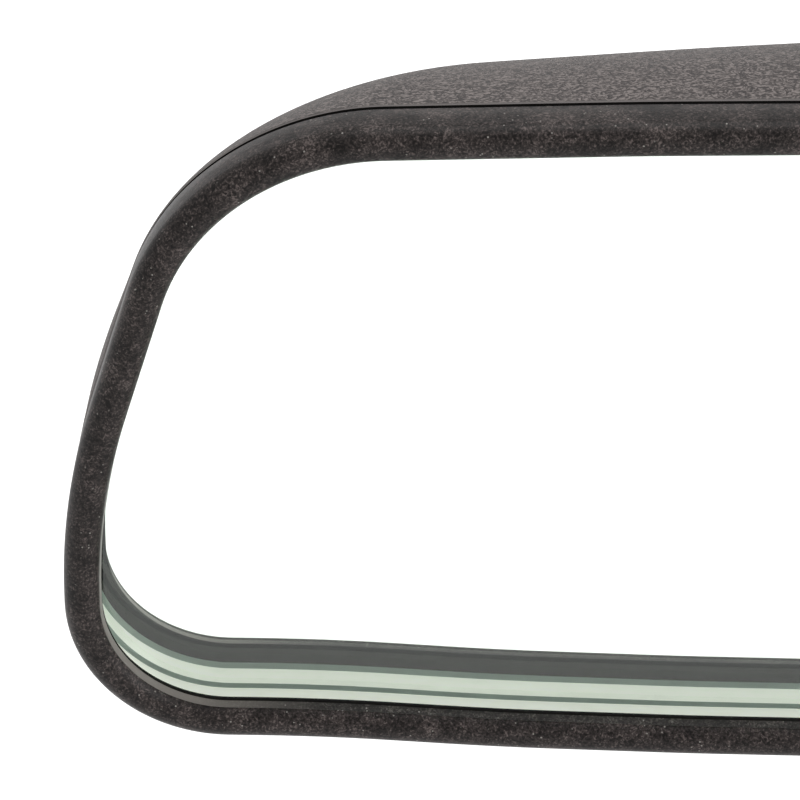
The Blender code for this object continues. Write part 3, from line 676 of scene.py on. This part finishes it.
def wedge_ring(inset, behind):
    ring = []
    for point, outward in OUTLINE:
        moved = point - outward * (inset + edge_taper(point.y))
        ring.append(in_head(moved.x, glass_back(moved.y) + behind, moved.y))
    return ring


def glass():
    """Wedge glass: clear front, ground arrises, fine-ground edge, silvered back."""
    clear_slot, ground_slot, silver_slot, edge_slot = range(4)
    rings = [
        head_ring(GLASS_INSET + ARRIS_FRONT * 0.5, GLASS_FRONT),
        head_ring(GLASS_INSET, GLASS_FRONT + ARRIS_FRONT * 0.6),
        wedge_ring(GLASS_INSET, -ARRIS_BACK),
        wedge_ring(GLASS_INSET + ARRIS_BACK, 0.0),
    ]
    skin = loft(rings, slots=(ground_slot, edge_slot, ground_slot))
    coats = (clear_glass(), ground_glass(), silver(), glass_edge())
    made = made_object("wedge_glass", skin, coats, 8.0)
    for face in made.data.polygons:
        if len(face.vertices) > 4:
            face.material_index = silver_slot if face.normal.y > 0.0 else clear_slot
    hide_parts("mirror_glass")
    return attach(made, "head")


# ---------------------------------------------------------------- arm, foot, ball joint and lever
def ridden(made, body, node):
    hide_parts(node)
    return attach(made, body)


def rod(radius, length, place, segments=48):
    profile = ((0.0, 0.0), (radius, 0.0), (radius, length), (0.0, length))
    return turned(profile, segments, place)


def arc(radius, start, end, steps):
    """Points of a circle about the ball's centre: distance off the axis, then y."""
    points = []
    for k in range(steps + 1):
        turn = math.radians(start + (end - start) * k / steps)
        points.append((radius * math.sin(turn), radius * math.cos(turn)))
    return points


def soften(target, width):
    """Small rounded edges, applied at once, then smooth shading."""
    round_edges(target, width)
    apply_modifiers(target)
    mesh = target.data
    mesh.polygons.foreach_set("use_smooth", [True] * len(mesh.polygons))
    mesh.set_sharp_from_angle(angle=math.radians(SHARP))


def superellipse(half_x, half_y, z, power, count):
    """A ring with rounded corners in a plane along the windscreen."""
    ring = []
    for k in range(count):
        turn = 2.0 * math.pi * k / count
        across = math.copysign(abs(math.cos(turn)) ** power, math.cos(turn)) * half_x
        along = math.copysign(abs(math.sin(turn)) ** power, math.sin(turn)) * half_y
        ring.append(on_screen() @ Vector((across, along, z)))
    return ring


def mount_foot(material):
    """Cast block with rounded corners, channelled for the button."""
    shape = ((1.6, -0.75), (0.9, -0.95), (0.4, -1.3), (0.1, -1.9), (0.0, -3.0), (0.0, -6.0))
    shape += ((0.3, -9.0), (0.9, -12.0), (1.6, -FOOT_BACK + 1.6), (2.3, -FOOT_BACK + 0.6))
    shape += ((3.4, -FOOT_BACK),)
    rings = []
    for inset, z in shape:
        rings.append(superellipse(FOOT_HALF_X - inset, FOOT_HALF_Y - inset, z, 0.45, 144))
    made = made_object("foot", loft(rings), (material,), SHARP)
    channel = bmesh.new()
    corners = []
    for y in (-40.0, 15.3):
        for half_x, z in ((9.9, 1.0), (13.45, -BUTTON_THICK - GAP)):
            for side in (-1, 1):
                corners.append(channel.verts.new(on_screen() @ Vector((side * half_x, y, z))))
    for face in ((0, 1, 3, 2), (4, 6, 7, 5), (0, 4, 5, 1), (2, 3, 7, 6), (0, 2, 6, 4), (1, 5, 7, 3)):
        channel.faces.new([corners[k] for k in face])
    cut(made, channel)
    cut(made, rod(2.8, FOOT_BACK, on_screen(0.0, SET_SCREW_Y, -FOOT_BACK - 2.0)))
    for side in (-1, 1):
        into = on_screen(side * FLANGE_SCREW_X, ARM_Y, -FOOT_BACK - 2.0)
        cut(made, rod(1.8, 8.5, into))
    soften(made, 0.25)
    return ridden(made, "mount", "mount_foot")


def arm(material):
    """Cast swan-neck arm from the foot's underside to the ball stud."""
    down = -(on_screen().to_3x3() @ Vector((0.0, 0.0, 1.0)))
    start = on_screen() @ Vector((0.0, ARM_Y, -FOOT_BACK - GAP))
    end = BALL + Vector((0.0, STUD_SHOULDER + GAP, 0.0))
    first = start + down * 14.0
    second = end + Vector((0.0, 22.0, 0.0))
    rings = []
    count = 56
    for k in range(count + 1):
        t = k / count
        middle = start * (1 - t) ** 3 + first * 3 * t * (1 - t) ** 2
        middle = middle + second * 3 * t * t * (1 - t) + end * t**3
        heading = (first - start) * (1 - t) ** 2 + (second - first) * 2 * t * (1 - t)
        heading = (heading + (end - second) * t * t).normalized()
        across = Vector((1.0, 0.0, 0.0))
        up = across.cross(heading).normalized()
        wide = across * (5.6 + 0.4 * t)
        deep = up * (6.8 - 0.8 * t)
        turns = [2.0 * math.pi * n / 72.0 for n in range(72)]
        rings.append([middle + wide * math.cos(turn) + deep * math.sin(turn) for turn in turns])
    made = made_object("swan_neck", loft(rings), (material,), SHARP)
    flange = on_screen(0.0, ARM_Y, -FOOT_BACK - GAP - FLANGE_THICK)
    plate = ((0.0, 0.0), (12.6, 0.0), (13.1, 0.15), (13.45, 0.5), (13.6, 1.0), (13.6, 2.7))
    join(made, turned(plate + ((13.3, FLANGE_THICK), (0.0, FLANGE_THICK)), 128, flange))
    bore = Matrix.Translation(BALL + Vector((0.0, 13.0, 0.0)))
    cut(made, rod(2.8, 11.3, bore @ Matrix.Rotation(math.radians(-90.0), 4, "X")))
    for side in (-1, 1):
        cut(made, rod(1.8, 8.0, on_screen(side * FLANGE_SCREW_X, ARM_Y, -FOOT_BACK - 6.0)))
    soften(made, 0.25)
    return ridden(made, "mount", "arm")


def ball_stud(material):
    neck_turn = math.degrees(math.asin(NECK_RADIUS / BALL_RADIUS))
    profile = arc(BALL_RADIUS, 180.0, neck_turn, 40)
    profile += [(NECK_RADIUS, 12.3), (3.4, 12.65), (4.9, 12.9), (5.2, 13.15), (5.2, STUD_SHOULDER)]
    profile += [(2.5, STUD_SHOULDER), (2.5, 23.4), (2.1, 23.8), (0.0, 23.8)]
    profile[0] = (0.0, -BALL_RADIUS)
    made = made_object("stud", turned(profile, 96, along_y(0.0, BALL_Y, 0.0)), (material,), SHARP)
    return ridden(made, "mount", "ball_stud")


def ball_liner(material):
    """The rear half of the liner, seen in the socket's mouth."""
    brim = 90.0 - math.degrees(math.asin(LINER_HALF_GAP / LINER_INNER))
    profile = arc(LINER_INNER, MOUTH_TURN, brim, 18) + arc(LINER_OUTER, brim, MOUTH_TURN, 18)
    place = along_y(0.0, BALL_Y, 0.0)
    made = made_object("rear_liner", turned(profile, 96, place), (material,), SHARP)
    return ridden(made, "rear_liner", "rear_ball_liner")


def socket_retainer(material):
    """The ring that closes the socket, with three screw holes."""
    profile = arc(SOCKET_RADIUS, MOUTH_TURN, 88.2, 18) + [(SOCKET_RADIUS, GAP), (14.9, GAP)]
    profile += [(RETAINER_RADIUS, 0.6), (RETAINER_RADIUS, 2.2), (15.0, 2.5), (14.6, 2.65)]
    profile += [(12.6, 2.85), (12.1, 3.1), (SOCKET_RADIUS, 5.9)]
    place = along_y(0.0, BALL_Y, 0.0)
    made = made_object("retainer", turned(profile, 128, place), (material,), SHARP)
    for k in range(3):
        turn = math.radians(150.0 + 120.0 * k)
        x, z = RETAINER_SCREWS * math.cos(turn), RETAINER_SCREWS * math.sin(turn)
        cut(made, rod(1.25, 4.6, along_y(x, BALL_Y - 2.6, z), 32))
    soften(made, 0.1)
    return ridden(made, "bracket", "socket_retainer")


def flange_screw(node, side, material):
    """Pan-head screw with a round socket: the head starts at local zero, the shank runs along +Z."""
    head_radius, head_high, shank_radius, shank_long = 2.8, 2.0, 1.5, 8.6
    rim = head_high * 0.45
    reach = head_high + shank_long
    profile = [(0.0, rim), (head_radius * 0.42, rim), (head_radius * 0.42, 0.0)]
    profile += [(head_radius * 0.72, 0.0), (head_radius * 0.86, rim * 0.25)]
    profile += [(head_radius * 0.96, rim * 0.65), (head_radius, rim), (head_radius, head_high)]
    profile += [(shank_radius, head_high)]
    pitch = shank_radius * 0.5
    turns = int((shank_long - shank_radius * 1.4) / pitch)
    for k in range(turns):
        low = head_high + 0.4 * shank_radius + pitch * k
        profile += [(shank_radius, low), (shank_radius * 0.84, low + pitch * 0.5)]
    profile += [(shank_radius, reach - shank_radius * 0.6), (shank_radius * 0.4, reach)]
    profile += [(0.0, reach)]
    low = -FOOT_BACK - 2.0 * GAP - 5.0
    place = on_screen(side * FLANGE_SCREW_X, ARM_Y, low)
    made = made_object(node + "_fine", turned(profile, 48, place), (material,), SHARP)
    return ridden(made, "mount", node)


def set_screw(material):
    """Grub screw that presses on the button."""
    low = -FOOT_BACK + 1.0
    tip = -BUTTON_THICK - GAP
    profile = ((0.0, low + 2.5), (1.4, low + 2.5), (1.4, low), (2.2, low), (2.5, low + 0.4))
    profile += ((2.5, tip - 1.0), (1.4, tip), (0.0, tip))
    place = on_screen(0.0, SET_SCREW_Y, 0.0)
    made = made_object("grub_screw", turned(profile, 48, place), (material,), SHARP)
    return ridden(made, "mount", "foot_set_screw")


def button(material):
    """The steel plate on the windscreen, wider towards its far side so that the foot can't drop."""
    shape = ((9.5, 13.5, 0.0), (9.7, 13.7, -0.1), (10.0, 14.0, -0.4), (13.0, 15.0, -BUTTON_THICK))
    rings = [superellipse(half_x, half_y, z, 0.5, 128) for half_x, half_y, z in shape]
    made = made_object("button", loft(rings), (material,), 30.0)
    return ridden(made, "mount", "windscreen_button")


def lever(material):
    """Finger tab with grip grooves, two cheeks and their trunnions."""
    swing = Matrix.Rotation(math.radians(LEVER_SWING), 4, "X")
    place = Matrix.Translation(in_head(0.0, LEVER_Y, LEVER_Z)) @ swing
    sideways = Matrix.Rotation(math.radians(90.0), 4, "Y")
    rings = []
    shape = ((7.0, 8.0, 1.5), (10.0, 8.0, 1.5), (12.0, 7.7, 1.5), (14.0, 7.4, 1.5), (16.5, 7.8, 1.4))
    shape += ((19.0, 8.4, 1.35), (21.5, 8.7, 1.3), (23.0, 8.8, 1.25), (24.6, 8.4, 1.2))
    shape += ((25.6, 7.6, 1.15), (LEVER_REACH - 0.6, 6.2, 1.0), (LEVER_REACH, 5.0, 0.9))
    for down, half_x, half_y in shape:
        ring = []
        for k in range(48):
            turn = 2.0 * math.pi * (k + 0.5) / 48.0
            x = math.copysign(min(1.0, abs(math.cos(turn)) ** 0.22), math.cos(turn)) * half_x
            y = math.copysign(min(1.0, abs(math.sin(turn)) ** 0.5), math.sin(turn)) * half_y
            ring.append(place @ Vector((x, y, -down)))
        rings.append(ring)
    made = made_object("finger_lever", loft(rings), (material,), SHARP)
    for side in (-1, 1):
        cheek_x = CHEEK_INNER if side > 0 else -LEVER_HALF_WIDTH
        hub = place @ Matrix.Translation((cheek_x, 0.0, 0.0)) @ sideways
        join(made, rod(5.0, LEVER_HALF_WIDTH - CHEEK_INNER, hub, 64))
        wide = LEVER_HALF_WIDTH - 3.7
        middle = Vector((cheek_x + 0.3 + wide * 0.5, 0.0, -5.25))
        join(made, box((wide, 2.6, 6.5), middle, place))
        pin_x = LEVER_HALF_WIDTH - 0.5 if side > 0 else -TRUNNION_END
        stub = place @ Matrix.Translation((pin_x, 0.0, 0.0)) @ sideways
        join(made, rod(1.6, TRUNNION_END - LEVER_HALF_WIDTH + 0.5, stub, 40))
    bore = place @ Matrix.Translation((-7.4, 0.0, -CRANK_RADIUS)) @ sideways
    cut(made, rod(CRANK_BORE, 14.8, bore))
    for k in range(3):
        cut(made, box((20.0, 1.85, 0.8), Vector((0.0, -2.075, -16.8 - 2.4 * k)), place))
    soften(made, 0.15)
    return ridden(made, "lever", "day_night_lever")


# ---------------------------------------------------------------- finish of the CAD nodes that stay
def finish_node(name, material, rounding):
    """Smooth shading, a material and, where wanted, rounded edges on a CAD node that stays."""
    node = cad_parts[name]
    node.data.materials.clear()
    node.data.materials.append(material)
    weld = node.modifiers.new("weld", "WELD")
    weld.merge_threshold = 0.00002
    if rounding:
        round_edges(node, rounding)
    smooth = node.modifiers.new("smooth", "NODES")
    smooth.node_group = smooth_group()


def smooth_group():
    """Geometry nodes that shade smooth, with edges above 35 degrees kept sharp."""
    found = bpy.data.node_groups.get("shade_by_angle")
    if found:
        return found
    group = bpy.data.node_groups.new("shade_by_angle", "GeometryNodeTree")
    group.interface.new_socket("Geometry", in_out="INPUT", socket_type="NodeSocketGeometry")
    group.interface.new_socket("Geometry", in_out="OUTPUT", socket_type="NodeSocketGeometry")
    start = group.nodes.new("NodeGroupInput")
    end = group.nodes.new("NodeGroupOutput")
    angle = group.nodes.new("GeometryNodeInputMeshEdgeAngle")
    compare = group.nodes.new("FunctionNodeCompare")
    compare.data_type = "FLOAT"
    compare.operation = "LESS_EQUAL"
    compare.inputs[1].default_value = math.radians(35.0)
    edges = group.nodes.new("GeometryNodeSetShadeSmooth")
    edges.domain = "EDGE"
    faces = group.nodes.new("GeometryNodeSetShadeSmooth")
    faces.domain = "FACE"
    group.links.new(start.outputs[0], faces.inputs["Geometry"])
    group.links.new(angle.outputs["Unsigned Angle"], compare.inputs[0])
    group.links.new(faces.outputs["Geometry"], edges.inputs["Geometry"])
    group.links.new(compare.outputs[0], edges.inputs["Shade Smooth"])
    group.links.new(edges.outputs["Geometry"], end.inputs[0])
    return group


# ---------------------------------------------------------------- stage, lights, camera
def stage():
    mesh = bpy.data.meshes.new("floor")
    low_z = CAD_BOX[0][2] - FLOOR_DROP
    corners = [(x * FLOOR_HALF, y * FLOOR_HALF, low_z) for x, y in ((-1, -1), (1, -1), (1, 1), (-1, 1))]
    mesh.from_pydata(corners, [], [(0, 1, 2, 3)])
    floor = bpy.data.objects.new("floor", mesh)
    bpy.context.scene.collection.objects.link(floor)
    mesh.materials.append(Shader("floor", (0.93, 0.93, 0.93), 0.9, specular=0.1).made)


def lights():
    """A white studio that is dimmer towards the driver, and two lamps."""
    scene = bpy.context.scene
    world = bpy.data.worlds.new("studio")
    scene.world = world
    world.use_nodes = True
    background = world.node_tree.nodes["Background"]
    background.inputs["Color"].default_value = (1.0, 1.0, 1.0, 1.0)
    links = world.node_tree.links
    heading = world.node_tree.nodes.new("ShaderNodeTexCoord").outputs["Generated"]
    toward = world.node_tree.nodes.new("ShaderNodeVectorMath")
    toward.operation = "DOT_PRODUCT"
    toward.inputs[1].default_value = DIM_HEADING
    links.new(heading, toward.inputs[0])
    fade = world.node_tree.nodes.new("ShaderNodeMapRange")
    fade.interpolation_type = "SMOOTHSTEP"
    for key, number in (
        ("From Min", DIM_START), ("From Max", DIM_FULL),
        ("To Min", WORLD_LIGHT), ("To Max", WORLD_DIM),
    ):
        fade.inputs[key].default_value = number
    links.new(toward.outputs["Value"], fade.inputs["Value"])
    links.new(fade.outputs["Result"], background.inputs["Strength"])
    for name, place, aim, size, power in (
        ("top", (0.1, 0.1, 0.9), (0.0, 0.0, -0.05), 0.7, 6.0),
        ("right", (0.8, -0.5, 0.3), (-0.05, -0.06, -0.05), 0.5, 6.0),
    ):
        data = bpy.data.lights.new(name, "AREA")
        data.size = size
        data.energy = power
        lamp = bpy.data.objects.new(name, data)
        scene.collection.objects.link(lamp)
        lamp.location = place
        ray = Vector(aim) - Vector(place)
        lamp.rotation_euler = ray.to_track_quat("-Z", "Y").to_euler()
    scene.view_settings.view_transform = "Standard"
    scene.cycles.glossy_bounces = 12
    scene.cycles.transmission_bounces = 16
    scene.cycles.max_bounces = 20


def camera():
    """Looks along +Y and down, at the left part of the glass."""
    data = bpy.data.cameras.new("camera")
    data.sensor_width = 36.0
    data.lens = CAMERA_LENS
    data.clip_end = 20.0
    made = bpy.data.objects.new("camera", data)
    bpy.context.scene.collection.objects.link(made)
    aim = in_head(*CAMERA_AIM) * 0.001
    elevation = math.radians(CAMERA_ELEVATION)
    away = Vector((0.0, -math.cos(elevation), math.sin(elevation))) * CAMERA_DISTANCE
    made.location = aim + away
    made.rotation_euler = (-away).to_track_quat("-Z", "Y").to_euler()
    bpy.context.scene.camera = made


# ---------------------------------------------------------------- the whole scene
def main():
    camera()
    stage()
    lights()
    bezel()
    housing()
    glass()
    steel = metal("steel", (0.56, 0.57, 0.58), 0.3, 0.08, 0.6, 0.004)
    spring = metal("spring_steel", (0.45, 0.46, 0.48), 0.25, 0.07, 0.8, 0.003)
    zinc = metal("cast_zinc", (0.42, 0.42, 0.43), 0.45, 0.1, 0.5, 0.02)
    moulding = inner_plastic()
    casting = black_casting()
    cushion = foam()
    liner = liner_plastic()
    mount_foot(casting)
    arm(casting)
    ball_stud(steel)
    ball_liner(liner)
    socket_retainer(zinc)
    button(metal("sintered_steel", (0.26, 0.26, 0.265), 0.5, 0.1, 0.4, 0.02))
    flange_screw("flange_screw_left", -1, steel)
    flange_screw("flange_screw_right", 1, steel)
    set_screw(steel)
    lever(moulding)
    for material, rounding, names in (
        (moulding, 0.25, ("inner_frame",)),
        (moulding, 0.2, ("toggle_bracket",)),
        (liner, 0.0, ("front_ball_liner",)),
        (backing_paint(), 0.0, ("mirror_silvering",)),
        (spring, 0.0, ("ball_pressure_spring", "detent_spring", "pivot_pin_clip")),
        (steel, 0.0, ("pivot_pin", "lever_crank_pin")),
        (steel, 0.0, ("retainer_screw_1", "retainer_screw_2", "retainer_screw_3")),
        (steel, 0.0, ("frame_screw_1", "frame_screw_2", "frame_screw_3", "frame_screw_4")),
        (cushion, 0.0, ("foam_pad_1", "foam_pad_2", "foam_pad_3", "foam_pad_4")),
    ):
        for name in names:
            finish_node(name, material, rounding)


main()
